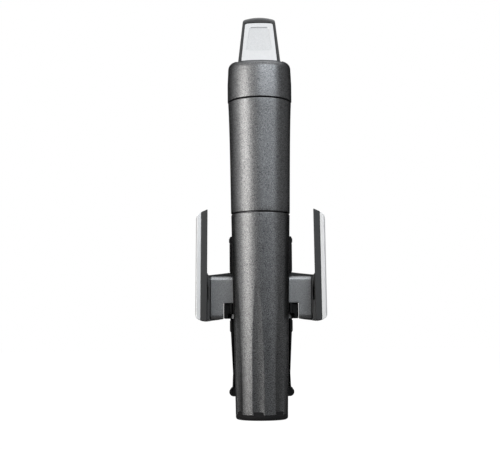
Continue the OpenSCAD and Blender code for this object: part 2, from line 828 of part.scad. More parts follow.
module regulator_cap() {
    color("dimgray") translate([0, 0, barrel_top_z + seat]) difference() {
        union() {
            cylinder(h = cap_h, r = barrel_r);
            translate([0, 0, -cap_step_h]) cylinder(h = cap_step_h + over, r = piston_bore_r - run_fit);
        }
        translate([0, gas_tube_y, cap_h - gas_tube_seat]) cylinder(h = cap_h, r = gas_tube_r + seat);
        translate([0, 0, cap_h - cap_key_h]) cylinder(h = cap_h, r = cap_key_r, $fn = 6);
    }
}

module regulator_spring() {
    low = piston_z + piston_h + regulator_wire_r + seat;
    high = barrel_top_z - cap_step_h - regulator_wire_r;
    pitch = (high - low) / regulator_coil_turns;
    echo(regulator_spring_gap = coil_gap(
        coil_path(regulator_coil_r, regulator_wire_r, regulator_coil_turns, pitch), regulator_wire_r
    ));
    color("silver") translate([0, 0, low])
        wire_coil(regulator_coil_r, regulator_wire_r, regulator_coil_turns, pitch);
}

module regulator_piston() {
    groove = 0.9;
    color("goldenrod") difference() {
        union() {
            translate([0, 0, piston_z]) cylinder(h = piston_h, r = piston_bore_r - run_fit);
            translate([0, 0, piston_z - piston_stem_h])
                cylinder(h = piston_stem_h + over, r = piston_stem_r);
            translate([0, 0, piston_z]) cylinder(
                h = piston_h + piston_boss_h, r = regulator_coil_r - regulator_wire_r - 4 * seat
            );
        }
        translate([0, 0, piston_z + piston_h / 2 - groove]) difference() {
            cylinder(h = 2 * groove, r = piston_bore_r + over);
            translate([0, 0, -over]) cylinder(h = piston_h, r = piston_bore_r - groove);
        }
    }
}

module piston_seal() {
    r = 0.4;
    color("black") translate([0, 0, piston_z + piston_h / 2])
        rotate_extrude() translate([piston_bore_r - r - run_fit, 0]) circle(r, $fn = 24);
}

module piercing_pin() {
    color("silver") translate([0, 0, socket_top_z]) {
        translate([0, 0, -seal_t]) cylinder(h = pin_seat_h + seal_t - seat, r = piercing_r);
        translate([0, 0, -seal_t - piercing_tip])
            cylinder(h = piercing_tip, r1 = run_fit, r2 = piercing_tip_r);
    }
}

module capsule_seal() {
    color("black") translate([0, 0, socket_top_z - seal_t + seat / 2]) difference() {
        cylinder(h = seal_t - seat, r = capsule_neck_r + seat);
        translate([0, 0, -over]) cylinder(h = seal_t + 2 * over, r = piercing_r + seat);
    }
}

module trigger_pin() {
    color("silver") translate([0, trigger_pin_y, trigger_pin_z])
        bar_x(trigger_block_w / 2 + trigger_ear_t + seat, trigger_pin_r);
}

module trigger_spring() {
    echo(trigger_spring_gap = coil_gap(
        coil_path(trigger_coil_r, trigger_wire_r, trigger_coil_turns, trigger_coil_pitch), trigger_wire_r
    ));
    color("silver") translate([-trigger_coil_turns * trigger_coil_pitch / 2, trigger_pin_y, trigger_pin_z])
        rotate([0, 90, 0])
            wire_coil(trigger_coil_r, trigger_wire_r, trigger_coil_turns, trigger_coil_pitch);
}

module valve_spring() {
    echo(valve_spring_gap = coil_gap(
        coil_path(valve_coil_r, valve_wire_r, valve_coil_turns, valve_coil_pitch), valve_wire_r
    ));
    color("silver") translate([0, valve_y - valve_wire_r - seat, valve_z]) rotate([90, 0, 0])
        wire_coil(valve_coil_r, valve_wire_r, valve_coil_turns, valve_coil_pitch);
}

module valve_plunger() {
    tip_y = trigger_root_y + 2 * trigger_block_half + 2 * seat;
    spring_seat_y = valve_y - valve_coil_turns * valve_coil_pitch - 3 * valve_wire_r - seat;
    color("silver") translate([0, 0, valve_z]) {
        rod_y(tip_y + plunger_head_r, valve_y + valve_len - valve_roof - plunger_travel_room, plunger_r);
        translate([0, tip_y + plunger_head_r, 0]) sphere(plunger_head_r);
        rod_y(spring_seat_y - plunger_collar_t, spring_seat_y - seat, valve_coil_r + 2 * valve_wire_r);
    }
}

// Front outline of the trigger: tapered, with rounded upper corners and a crowned top
module trigger_outline(inset, low, high, r, crown) {
    share = (trigger_root_w - trigger_tip_w) / 2 / trigger_len;
    half_low = trigger_root_w / 2 - share * low - inset;
    half_high = trigger_root_w / 2 - share * high - inset;
    top_half = half_high - r;
    corner_z = high - crown - r;
    polygon(concat(
        [[-half_low, low], [half_low, low]], arc(top_half, corner_z, r, 0, 72, 5),
        [for (i = [2:-1:-2]) [top_half * i / 3, high - crown * pow(i / 3, 2)]],
        arc(-top_half, corner_z, r, 108, 180, 5)
    ));
}

// Disc whose rim is the trigger's crowned tip, rounded on its back edge
module trigger_tip_disc() {
    r = trigger_nose_r;
    rim = trigger_crown_r;
    translate([0, 0, trigger_len - rim]) rotate([-90, 0, 0])
        rotate_extrude($fn = 2 * hull_sides) polygon(concat(
            [[0, 0]], arc(rim - r, r, r, -90, 0, 8), [[rim, trigger_t], [0, trigger_t]]
        ));
}

module in_trigger_frame() {
    translate([0, trigger_root_y, trigger_root_z]) rotate([-trigger_lean, 0, 0]) children();
}

module trigger_lever() {
    foot = 2.2;
    color("dimgray") difference() {
        union() {
            in_trigger_frame() intersection() {
                extruded_y(0, trigger_t) trigger_outline(
                    0, -foot, trigger_len + 2 / 3 * trigger_crown, trigger_tip_r, trigger_crown
                );
                trigger_tip_disc();
            }
            translate([-trigger_block_w / 2, trigger_root_y, trigger_pin_z])
                cube([trigger_block_w, 2 * trigger_block_half, trigger_root_z - trigger_pin_z]);
            translate([0, trigger_pin_y, trigger_pin_z]) bar_x(trigger_block_w / 2, trigger_block_half);
        }
        translate([0, trigger_pin_y, trigger_pin_z]) bar_x(trigger_root_w, trigger_pin_r + run_fit);
        translate([-spring_slot_w / 2, trigger_root_y - over, trigger_pin_z - trigger_block_half - over])
            cube([
                spring_slot_w, 2 * trigger_block_half + 2 * over, 2 * trigger_block_half + spring_slot_rise
            ]);
        in_trigger_frame() extruded_y(-over, plate_sink)
            trigger_outline(
                trigger_rim, -foot - over, trigger_len - trigger_brow, plate_corner_r, plate_crown
            );
        translate([-trigger_root_w, trigger_root_y - trigger_t, trigger_pin_z])
            cube([2 * trigger_root_w, trigger_t, trigger_root_z - trigger_pin_z - foot - over]);
    }
}

module trigger_plate() {
    low = 6.3;
    high = 21;
    low_half = 6.7;
    high_half = 5.2;
    r = plate_corner_r;
    color("white") in_trigger_frame() difference() {
        extruded_y(plate_sink - plate_t, plate_sink - run_fit)
            trigger_outline(
                trigger_rim + seat, -plate_root, trigger_len - trigger_brow - seat, plate_corner_r, plate_crown
            );
        extruded_y(plate_sink - plate_t - over, plate_sink - plate_t + thumb_depth) polygon(concat(
            arc(low_half - r, low + r, r, -90, 0, 5), arc(high_half - r, high - r, r, 0, 90, 5),
            arc(-high_half + r, high - r, r, 90, 180, 5), arc(-low_half + r, low + r, r, 180, 270, 5)
        ));
    }
}

// Half section of the capsule, drawn in from its outer face
function capsule_line(inset) = let (
    shoulder_z = capsule_top_z - capsule_neck_h - capsule_shoulder_r,
    foot_z = capsule_z + capsule_r,
    neck_r = capsule_neck_r - inset
) concat(
    [[0, capsule_z + inset]], arc(0, foot_z, capsule_r - inset, -80, 0, 8),
    arc(capsule_r - capsule_shoulder_r, shoulder_z, capsule_shoulder_r - inset, 0, 90, 8),
    [[neck_r, capsule_top_z - neck_r / 8 - inset], [neck_r * 7 / 8, capsule_top_z - inset],
    [0, capsule_top_z - inset]]
);

module gas_capsule() {
    color("silver") difference() {
        rotate_extrude() polygon(capsule_line(0));
        rotate_extrude() polygon(capsule_line(capsule_wall));
        translate([0, 0, capsule_top_z - 2 * capsule_wall])
            cylinder(h = 2 * capsule_wall + over, r = capsule_mouth_r);
    }
}

module capsule_cup() {
    slope = atan((cup_mouth_r - cup_foot_r) / cup_h);
    floor_r = cup_foot_r - flute_depth;
    run_out_r = cup_r(flute_h);
    tilt = atan((run_out_r - floor_r) / flute_h);
    bore_r = capsule_r + capsule_play;
    color("dimgray") difference() {
        rotate_extrude() polygon([
            [0, ring_h], [cup_r(ring_h), ring_h], [cup_r(cup_h - shell_wall / 4), cup_h - shell_wall / 4],
            [cup_mouth_r - shell_wall / 4, cup_h], [0, cup_h]
        ]);
        translate([0, 0, ring_h + cup_floor]) cylinder(h = cup_h, r = bore_r);
        translate([0, 0, spigot_z - capsule_play]) cylinder(h = thread_h + over, r = thread_r);
        translate([0, 0, ring_h - over]) cylinder(h = cup_floor + 2 * over, r = ring_boss_r + run_fit);
        at_flutes() translate([floor_r, -flute_w / 2, 0]) rotate([0, tilt, 0])
            cube([flute_w, flute_w, cup_h]);
    }
}

module cup_base_ring() {
    floor_r = cup_foot_r - flute_depth;
    tilt = atan((cup_r(flute_h) - floor_r) / flute_h);
    tab_t = flute_depth / 2;
    edge = cup_foot_r - ring_edge_r;
    color("black") union() {
        rotate_extrude() polygon(concat(
            [[0, 0]], arc(edge, ring_edge_r, ring_edge_r, -90, 0, 6),
            [[cup_foot_r, ring_h - run_fit], [0, ring_h - run_fit]]
        ));
        translate([0, 0, ring_h / 2]) cylinder(h = ring_h / 2 + cup_floor - seat, r = ring_boss_r);
        at_flutes() translate([floor_r + run_fit, -flute_w / 2 + seat, 0]) rotate([0, tilt, 0])
            translate([0, 0, ring_h / 2]) cube([tab_t, flute_w - 2 * seat, ring_h / 2 + tab_h]);
    }
}

module cup_cushion() {
    color("black") translate([0, 0, ring_h + cup_floor + seat / 2]) cylinder(h = cushion_t, r = cushion_r);
}

// Back outline of the carriage, from the tapered tail to the lip above its body
module carriage_outline() {
    right = [
        [tail_half, carriage_z], [tail_half, carriage_z + collar_tail_h],
        [tail_half - seat, carriage_z + collar_tail_h + 3 * lip_groove],
        [carriage_half - lip_groove, body_z - 2 * lip_groove], [carriage_half, body_z],
        [carriage_half, foot_top_z - lip_h - 2 * lip_groove],
        [carriage_half - lip_groove, foot_top_z - lip_h - lip_groove],
        [lip_half, foot_top_z - lip_h], [lip_half, foot_top_z - 3 * lip_groove],
        [carriage_half - lip_groove, foot_top_z]
    ];
    n = len(right);
    polygon(concat(right, [for (i = [0:n - 1]) [-right[n - 1 - i][0], right[n - 1 - i][1]]]));
}

module rail_channel() {
    z0 = carriage_z - over;
    h = carriage_h + 2 * over;
    translate([-flange_half - glide, flange_y - glide, z0])
        cube([2 * (flange_half + glide), flange_t + 2 * glide, h]);
    translate([-web_half - glide, 0, z0]) cube([2 * (web_half + glide), flange_y, h]);
}

module at_pivot(side) {
    mirrored_x(side) translate([pivot_x, pivot_y, 0]) children();
}

module clamp_carriage() {
    back_y = carriage_back_y;
    ear_top = ear_z + ear_h;
    color("black") difference() {
        union() {
            intersection() {
                extruded_y(back_y, carriage_y) carriage_outline();
                translate([-stop_half, back_y, carriage_z]) cube([2 * stop_half, carriage_y, carriage_h]);
            }
            for (s = [-1, 1]) mirrored_x(s) translate([0, pivot_y - ear_reach, ear_z])
                cube([pivot_x + ear_reach, ear_reach + lever_hub_r, ear_h]);
            neck_rest_block();
            translate([0, needle_y, foot_z]) cylinder(h = foot_t, r = foot_r);
            translate([-foot_r, carriage_y - over, foot_z])
                cube([2 * foot_r, needle_y - carriage_y + over, foot_t]);
        }
        translate([0, 0, -over]) cylinder(h = foot_top_z + 2 * over, r = clear_r);
        rail_channel();
        translate([0, needle_y, foot_z - over]) cylinder(h = foot_t + 2 * over, r = guide_r + run_fit);
        for (s = [-1, 1]) at_pivot(s) {
            translate([0, 0, ear_z - over])
                cylinder(h = hub_high_z + pin_top - ear_z + over, r = pin_r + run_fit);
            translate([0, 0, ear_z - over]) cylinder(h = over + pin_head_h + seat, r = pin_head_r + seat);
            translate([-2 * ear_reach, -2 * ear_reach, ear_z - over])
                cube([2 * ear_reach + pin_head_r + seat, 2 * ear_reach, over + pin_head_h + seat]);
            translate([0, 0, hub_low_z - hub_play])
                cylinder(h = hub_high_z + 2 * hub_play - hub_low_z, r = lever_hub_r + handle_gap);
            translate([pocket_in_x - pivot_x, -2 * ear_reach, hub_low_z - hub_play])
                cube([
                    3 * ear_reach, 2 * ear_reach + lever_hub_r + handle_gap,
                    hub_high_z + 2 * hub_play - hub_low_z
                ]);
        }
    }
}

module neck_rest_block() {
    back = pad_back_r + rest_t;
    half_x = pad_back_r * sin(rest_half_angle) + rest_t / 2;
    front_y = needle_y - pad_back_r * cos(rest_half_angle);
    translate([0, 0, jaw_z]) difference() {
        translate([-half_x, carriage_y - over, 0]) cube([2 * half_x, front_y - carriage_y + over, jaw_h]);
        translate([0, needle_y, -over]) cylinder(h = jaw_h + 2 * over, r = pad_back_r + run_fit);
    }
}

module neck_rest_pad() {
    color("black") translate([0, needle_y, jaw_z])
        rotate_extrude(angle = 2 * rest_half_angle, start = -90 - rest_half_angle)
            translate([pad_r, 0]) square([pad_t, jaw_h]);
}

module needle_guide() {
    color("ivory") translate([0, needle_y, 0]) difference() {
        union() {
            translate([0, 0, foot_z]) cylinder(h = foot_t + over / 2, r = guide_r);
            translate([0, 0, foot_top_z + run_fit]) cylinder(h = guide_flange_t, r = guide_flange_r);
        }
        translate([0, 0, foot_z - over]) cylinder(h = foot_t + 3 * over, r = needle_r + guide_play);
    }
}

module guide_foot_pad() {
    color("black") translate([0, needle_y, foot_z - foot_pad_t - run_fit]) difference() {
        cylinder(h = foot_pad_t, r = foot_r - seat);
        translate([0, 0, -over]) cylinder(h = foot_pad_t + 2 * over, r = foot_pad_in_r);
    }
}

module hinge_pin(side) {
    color("silver") at_pivot(side) {
        translate([0, 0, ear_z]) cylinder(h = pin_head_h, r = pin_head_r);
        translate([0, 0, ear_z]) cylinder(h = hub_high_z + pin_top - seat - ear_z, r = pin_r);
    }
}

module arm_spring(side) {
    echo(arm_spring_gap = coil_gap(
        coil_path(arm_coil_r, arm_wire_r, arm_coil_turns, arm_coil_pitch), arm_wire_r
    ));
    color("silver") at_pivot(side) translate([0, 0, hub_low_z + 2 * arm_wire_r])
        wire_coil(arm_coil_r, arm_wire_r, arm_coil_turns, arm_coil_pitch);
}

// Plan of a wing between two offsets from its outer face
module wing_plan(outer, inner) {
    r = wing_curve_r;
    reach = asin((wing_mid_y - wing_back_y) / r);
    polygon(concat(
        arc(wing_out_x - r, wing_mid_y, r - outer, -reach, reach),
        arc(wing_out_x - r, wing_mid_y, r - inner, reach, -reach)
    ));
}

module wing_inner_plan() {
    r = wing_curve_r;
    reach = asin((wing_mid_y - wing_back_y) / r);
    polygon(concat(
        arc(wing_out_x - r, wing_mid_y, r - cover_t, -reach, reach),
        [
            [wing_in_x + 2.5 * wing_bow, wing_back_y + wing_depth], [wing_in_x + wing_bow, wing_mid_y],
            [wing_in_x, wing_back_y]
        ]
    ));
}

// Side view of a wing, with rounded corners
module wing_side(low, high) {
    r = wing_corner_r;
    y0 = wing_back_y - over;
    y1 = wing_back_y + wing_depth;
    polygon(concat(
        arc(y0 + r / 3, low + r / 3, r / 3, 180, 270, 4), arc(y1 - r, low + r, r, -90, 0, 6),
        arc(y1 - r, high - r, r, 0, 90, 6), arc(y0 + r / 3, high - r / 3, r / 3, 90, 180, 4)
    ));
}

// Back view of a wing, with a slanted top and rounded outer corners
module wing_front(low, high) {
    r = wing_edge_r;
    foot_r = wing_foot_r;
    x1 = wing_out_x + over / 4;
    top_z = high - (x1 - r - wing_in_x) * tan(wing_slope) - r / cos(wing_slope);
    polygon(concat(
        [[wing_in_x - 2 * over, low + wing_foot_rise]], arc(x1 - foot_r, low + foot_r, foot_r, -90, 0, 6),
        arc(x1 - r, top_z, r, 0, 90 - wing_slope, 6),
        [[wing_in_x - 2 * over, high + 2 * over * tan(wing_slope)]]
    ));
}

// Back view of the arm from the hub to the wing
module arm_front() {
    top_z = wing_z + elbow_h + arm_lift;
    polygon([
        [arm_in_x, hub_low_z], [notch_x, hub_low_z], [notch_x, wing_z + arm_foot_rise],
        [wing_in_x + elbow_sink, wing_z + seat], [wing_in_x + elbow_sink, top_z],
        [arm_in_x, top_z + arm_rise]
    ]);
}

// Back view of the elbow, with a fillet under the wing
module elbow_front() {
    x0 = elbow_x + seat;
    x1 = wing_in_x + elbow_sink - seat;
    top_z = wing_z + elbow_h;
    rise = (arm_foot_rise - seat) / (x1 - notch_x) * (x1 - x0);
    polygon(concat(
        [[x0, top_z], [x0, wing_z + 2 * seat + rise], [x1, wing_z + 2 * seat], [x1, top_z + arm_fillet_r]],
        arc(wing_in_x - arm_fillet_r, top_z + arm_fillet_r, arm_fillet_r, 0, -80, 4)
    ));
}

module leaned() {
    translate([wing_in_x, 0, hub_low_z]) rotate([0, -wing_lean, 0]) translate([-wing_in_x, 0, -hub_low_z])
        children();
}

module clamp_arm(side) {
    arm_back = arm_y + run_fit;
    color("dimgray") mirrored_x(side) difference() {
        union() {
            translate([pivot_x, pivot_y, hub_low_z]) cylinder(h = lever_hub_h, r = lever_hub_r);
            extruded_y(arm_back, arm_back + arm_t) arm_front();
            extruded_y(elbow_back_y, arm_back + arm_t - seat) elbow_front();
            leaned() intersection() {
                translate([0, 0, wing_z - over]) linear_extrude(wing_h + 2 * over) wing_inner_plan();
                extruded_x(0, 2 * wing_out_x) wing_side(wing_z, wing_z + wing_h);
                extruded_y(wing_back_y - over, wing_back_y + wing_depth + over)
                    wing_front(wing_z, wing_z + wing_h);
            }
            // Link from the hub to the jaw, and the jaw
            translate([pivot_x, pivot_y, hub_low_z])
                cube([link_in_x + link_t - pivot_x, web_t, jaw_z + jaw_h - hub_low_z]);
            translate([link_in_x, pivot_y, jaw_z])
                cube([link_t, needle_y - pivot_y - 2 * over, jaw_h]);
            translate([0, needle_y, jaw_z])
                rotate_extrude(
                    angle = jaw_span_angle + jaw_lap_angle, start = jaw_start_angle - jaw_lap_angle - 90
                )
                    translate([pad_back_r + run_fit, 0]) square([jaw_t, jaw_h]);
        }
        translate([pivot_x, pivot_y, wing_z - over]) cylinder(h = hub_low_z - wing_z + over, r = sweep_r);
        translate([pivot_x, pivot_y, hub_low_z - over])
            cylinder(h = lever_hub_h + 2 * over, r = pin_r + run_fit);
        translate([pivot_x, pivot_y, hub_low_z - over])
            cylinder(h = arm_spring_h + over, r = arm_spring_bore_r);
        translate([slot_x, wing_back_y - over, wing_z + slot_low])
            cube([slot_w, over + slot_deep, slot_h]);
        leaned() for (z = wing_screw_heights) translate([wing_in_x + wing_bow, wing_mid_y, z])
            rotate([0, 90, 0]) screw_hole(wing_screw_len);
    }
}

module arm_plate(side) {
    r = 0.8;
    low = wing_z + arm_foot_rise + seat;
    high = low + arm_plate_h;
    roll_y = arm_plate_t - seat;
    roll_z = 2 * arm_plate_t;
    color("silver") mirrored_x(side) intersection() {
        extruded_y(arm_plate_y, arm_y) polygon(concat(
            [[arm_in_x, hub_low_z], [notch_x, hub_low_z], [notch_x, low], [elbow_x, low]],
            arc(elbow_x - r, high - r, r, 0, 90, 5), [[arm_in_x, high]]
        ));
        // Back edges rolled forward at the top and the foot
        extruded_x(0, 2 * elbow_x) polygon(concat(
            [[arm_y + over, low], [arm_plate_y + roll_y, low]],
            [for (a = [15:15:90]) [arm_plate_y + roll_y * (1 - sin(a)), low + roll_z * (1 - cos(a))]],
            [for (a = [90:-15:15]) [arm_plate_y + roll_y * (1 - sin(a)), high - roll_z * (1 - cos(a))]],
            [[arm_plate_y + roll_y, high], [arm_y + over, high]]
        ));
    }
}

module wing_cover(side) {
    color("silver") mirrored_x(side) leaned() intersection() {
        translate([0, 0, wing_z - over]) linear_extrude(wing_h + 2 * over) wing_plan(0, cover_t - run_fit);
        extruded_x(0, 2 * wing_out_x) wing_side(wing_z, wing_z + wing_h);
        extruded_y(wing_back_y - over, wing_back_y + wing_depth + over) wing_front(wing_z, wing_z + wing_h);
    }
}

module jaw_pad(side) {
    color("black") mirrored_x(side) translate([0, needle_y, jaw_z])
        rotate_extrude(angle = jaw_span_angle, start = jaw_start_angle - 90)
            translate([pad_r, 0]) square([pad_t, jaw_h]);
}

module wing_screws(side) {
    color("silver") mirrored_x(side) leaned() for (z = wing_screw_heights)
        translate([wing_in_x + wing_bow + seat, wing_mid_y, z]) rotate([0, 90, 0])
            slotted_screw(wing_screw_len - 2 * seat);
}

grip_shell();
head_shell();
head_base();
head_screws();
valve_block();
valve_seal();
gas_tube();
flow_block();
spout();
spout_collar();
needle();
needle_hub();
hub_seal();
rail();
rail_screws();
rail_end_stop();
end_stop_screw();
regulator_body();
regulator_cap();
regulator_spring();
piercing_pin();
capsule_seal();
trigger_pin();
trigger_spring();
valve_spring();
regulator_piston();
piston_seal();
valve_plunger();
trigger_lever();
trigger_plate();
gas_capsule();
capsule_cup();
cup_base_ring();
cup_cushion();
clamp_carriage();
needle_guide();
guide_foot_pad();
neck_rest_pad();
hinge_pin(-1);  // hinge_pin_left
hinge_pin(1);  // hinge_pin_right
arm_spring(-1);  // arm_spring_left
arm_spring(1);  // arm_spring_right
clamp_arm(-1);  // clamp_arm_left
arm_plate(-1);  // arm_plate_left
wing_cover(-1);  // wing_cover_left
jaw_pad(-1);  // jaw_pad_left
wing_screws(-1);  // wing_screws_left
clamp_arm(1);  // clamp_arm_right
arm_plate(1);  // arm_plate_right
wing_cover(1);  // wing_cover_right
jaw_pad(1);  // jaw_pad_right
wing_screws(1);  // wing_screws_right
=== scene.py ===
from math import atan, cos, radians, sin

import bpy
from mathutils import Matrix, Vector


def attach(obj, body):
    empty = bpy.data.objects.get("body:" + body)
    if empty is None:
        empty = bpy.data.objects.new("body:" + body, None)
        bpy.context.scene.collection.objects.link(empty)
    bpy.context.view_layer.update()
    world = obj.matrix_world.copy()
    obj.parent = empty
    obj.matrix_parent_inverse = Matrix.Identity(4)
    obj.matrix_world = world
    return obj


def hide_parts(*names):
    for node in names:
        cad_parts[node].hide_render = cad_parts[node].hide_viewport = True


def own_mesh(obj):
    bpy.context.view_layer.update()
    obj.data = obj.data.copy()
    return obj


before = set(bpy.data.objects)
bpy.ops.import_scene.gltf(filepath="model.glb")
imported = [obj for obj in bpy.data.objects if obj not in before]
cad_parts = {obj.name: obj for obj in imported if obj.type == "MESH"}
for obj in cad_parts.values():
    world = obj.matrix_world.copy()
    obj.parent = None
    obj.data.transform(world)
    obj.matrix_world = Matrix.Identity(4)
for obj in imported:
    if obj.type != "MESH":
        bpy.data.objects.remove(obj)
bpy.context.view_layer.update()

# Camera. It stands close behind the handle and looks up a little, as the photograph does.
# It is turned and rolled by about half a degree, and its lens holds the handle from foot to trigger.
camera_distance, camera_height = 0.58, 0.04106
camera_rise, camera_turn, camera_roll = 5.968, 0.55, -0.4
bpy.ops.object.camera_add(location=(0, -camera_distance, camera_height))
camera = bpy.context.object
camera.name = "camera"
camera.rotation_euler = (radians(90 + camera_rise), 0, radians(camera_turn))
camera.rotation_euler.rotate_axis("Z", radians(camera_roll))
camera.data.sensor_width = 36
camera.data.lens = 79.2
camera.data.clip_start = 0.01
bpy.context.scene.camera = camera
bpy.context.scene.view_settings.view_transform = "Standard"

# Floor. A plain pale sheet that reads as white and still takes a faint shadow at the foot.
# The camera, metal and glass see it and the world as white.
floor_grey, floor_glow, floor_glow_share = 0.6, 1.15, 0.85


def background_rays(nodes, links):
    """Is 1 for the rays that show a background: the camera's, and those through glass or off metal."""
    rays = nodes.new("ShaderNodeLightPath")
    clear = nodes.new("ShaderNodeMath")
    clear.operation = "MAXIMUM"
    links.new(rays.outputs["Is Camera Ray"], clear.inputs[0])
    links.new(rays.outputs["Is Transmission Ray"], clear.inputs[1])
    seen = nodes.new("ShaderNodeMath")
    seen.operation = "MAXIMUM"
    links.new(clear.outputs[0], seen.inputs[0])
    links.new(rays.outputs["Is Glossy Ray"], seen.inputs[1])
    return seen.outputs[0]


bpy.ops.mesh.primitive_plane_add(size=6, location=(0, 0.6, 0))
floor = bpy.context.object
floor.name = "floor"
floor_paint = bpy.data.materials.new("floor_paint")
floor_paint.use_nodes = True
nodes, links = floor_paint.node_tree.nodes, floor_paint.node_tree.links
nodes.clear()
out = nodes.new("ShaderNodeOutputMaterial")
mix = nodes.new("ShaderNodeMixShader")
diffuse = nodes.new("ShaderNodeBsdfDiffuse")
diffuse.inputs["Color"].default_value = (floor_grey, floor_grey, floor_grey, 1)
glow = nodes.new("ShaderNodeEmission")
glow.inputs["Strength"].default_value = floor_glow
share = nodes.new("ShaderNodeMath")
share.operation = "MULTIPLY"
share.inputs[1].default_value = floor_glow_share
links.new(background_rays(nodes, links), share.inputs[0])
links.new(share.outputs[0], mix.inputs["Fac"])
links.new(diffuse.outputs[0], mix.inputs[1])
links.new(glow.outputs[0], mix.inputs[2])
links.new(mix.outputs[0], out.inputs["Surface"])
floor.data.materials.append(floor_paint)

# World. It lights the object softly from all round at a low level.
# It is white wherever the camera, metal or glass shows it.
world_light, world_shown = 0.4, 1
world = bpy.data.worlds.new("studio")
bpy.context.scene.world = world
world.use_nodes = True
nodes, links = world.node_tree.nodes, world.node_tree.links
background = nodes["Background"]
background.inputs["Color"].default_value = (1, 1, 1, 1)
level = nodes.new("ShaderNodeMapRange")
level.inputs["To Min"].default_value = world_light
level.inputs["To Max"].default_value = world_shown
links.new(background_rays(nodes, links), level.inputs["Value"])
links.new(level.outputs[0], background.inputs["Strength"])

# Lights. A tall soft box on the left, whose reflection is the bright band down the handle, one high
# and farther off on the right, whose sheen fades down the handle, and one above and behind.
handle_middle = Vector((0, 0, 0.11))


def round_the_handle(azimuth, distance, height):
    """A place round the handle, by degrees to the right of the camera's side."""
    return Vector((distance * sin(radians(azimuth)), -distance * cos(radians(azimuth)), height))


def soft_box(name, azimuth, distance, height, width, tall, watts, tint):
    """A rectangular lamp that points at the middle of the handle."""
    place = round_the_handle(azimuth, distance, height)
    bpy.ops.object.light_add(type="AREA", location=place)
    lamp = bpy.context.object
    lamp.name = name
    lamp.data.shape = "RECTANGLE"
    lamp.data.size = width
    lamp.data.size_y = tall
    lamp.data.energy = watts
    lamp.data.color = tint
    lamp.rotation_euler = (handle_middle - place).to_track_quat("-Z", "Y").to_euler()


soft_box(
    "key_light", azimuth=-56, distance=0.9, height=0, width=0.62, tall=1.2, watts=8.6, tint=(1, 0.97, 0.93)
)
soft_box(
    "fill_light", azimuth=30, distance=1.2, height=0.72, width=1.6, tall=0.7, watts=8.5, tint=(0.88, 0.94, 1)
)
soft_box(
    "top_light", azimuth=150, distance=0.35, height=1.3, width=1.1, tall=1.0, watts=4, tint=(0.92, 0.96, 1)
)

# Screens. Dim sheets stand round the studio, and one lies just above its floor. Only reflections
# show them, and they give the metal the dark edges and the dark foot that the photograph shows.
mm = 0.001
above_floor = 0.5 * mm


def screen(name, azimuth, distance, width, tall, level, flat=False):
    """A dim sheet that stands on the floor, or lies just above it."""
    place = round_the_handle(azimuth, distance, above_floor if flat else tall / 2)
    tilt = 0 if flat else radians(90)
    bpy.ops.mesh.primitive_plane_add(size=1, location=place, rotation=(tilt, 0, radians(azimuth)))
    card = bpy.context.object
    card.name = name
    card.scale = (width, tall, 1)
    shade = bpy.data.materials.new(name)
    shade.use_nodes = True
    nodes, links = shade.node_tree.nodes, shade.node_tree.links
    nodes.clear()
    out = nodes.new("ShaderNodeOutputMaterial")
    glow = nodes.new("ShaderNodeEmission")
    glow.inputs["Strength"].default_value = level
    links.new(glow.outputs[0], out.inputs["Surface"])
    card.data.materials.append(shade)
    card.visible_camera = False
    card.visible_diffuse = False
    card.visible_shadow = False


screen("front_screen", azimuth=15, distance=1.9, width=2.2, tall=0.55, level=0.02)
screen("right_screen", azimuth=90, distance=1.7, width=2.2, tall=1.7, level=0.3)
screen("right_back_screen", azimuth=150, distance=1.7, width=2.2, tall=1.7, level=0.3)
screen("left_back_screen", azimuth=-142, distance=1.7, width=2.6, tall=1.7, level=0.3)
screen("floor_screen", azimuth=0, distance=1, width=3.4, tall=2.6, level=0.12, flat=True)

# Capsule cup. The real piece is a turned and painted metal cup that holds the gas capsule.
# It has seven flat flutes milled up from its foot, a fine metallic powder coat, and a thread in its mouth.
cup_foot_r, cup_mouth_r, cup_height = 13.6 * mm, 15.5 * mm, 107 * mm
cup_edge, cup_lip, cup_lip_middle = 0.15 * mm, 0.5 * mm, 0.12 * mm
cup_bore_r, cup_floor_z = 11.4 * mm, 5 * mm
thread_r, thread_foot_z = 13 * mm, 91.6 * mm
ring_height, ring_boss_hole_r = 2.6 * mm, 4.1 * mm
flute_count, first_flute = 7, -90 - 7.3
flute_width, flute_depth, flute_height = 5.3 * mm, 0.9 * mm, 72 * mm
scoop_foot_r, scoop_top_r = 6.5 * mm, 50 * mm


def pick(piece):
    """Selects one object alone."""
    bpy.ops.object.select_all(action="DESELECT")
    piece.select_set(True)
    bpy.context.view_layer.objects.active = piece


def edit(piece, mode):
    pick(piece)
    bpy.ops.object.mode_set(mode="EDIT")
    bpy.ops.mesh.select_mode(type=mode)


def apply_place():
    bpy.ops.object.transform_apply(location=True, rotation=True, scale=True)


def settle(piece, location=(0, 0, 0), rotation=(0, 0, 0)):
    """Turns and moves a form about the origin, and puts that into its mesh."""
    pick(piece)
    piece.location = location
    piece.rotation_euler = rotation
    apply_place()


def close_up(piece):
    """Merges doubles, turns the faces out and puts the place into the mesh."""
    edit(piece, "VERT")
    bpy.ops.mesh.select_all(action="SELECT")
    bpy.ops.mesh.remove_doubles(threshold=0.001 * mm)
    bpy.ops.mesh.normals_make_consistent(inside=False)
    bpy.ops.mesh.select_all(action="DESELECT")
    bpy.ops.object.mode_set(mode="OBJECT")
    apply_place()


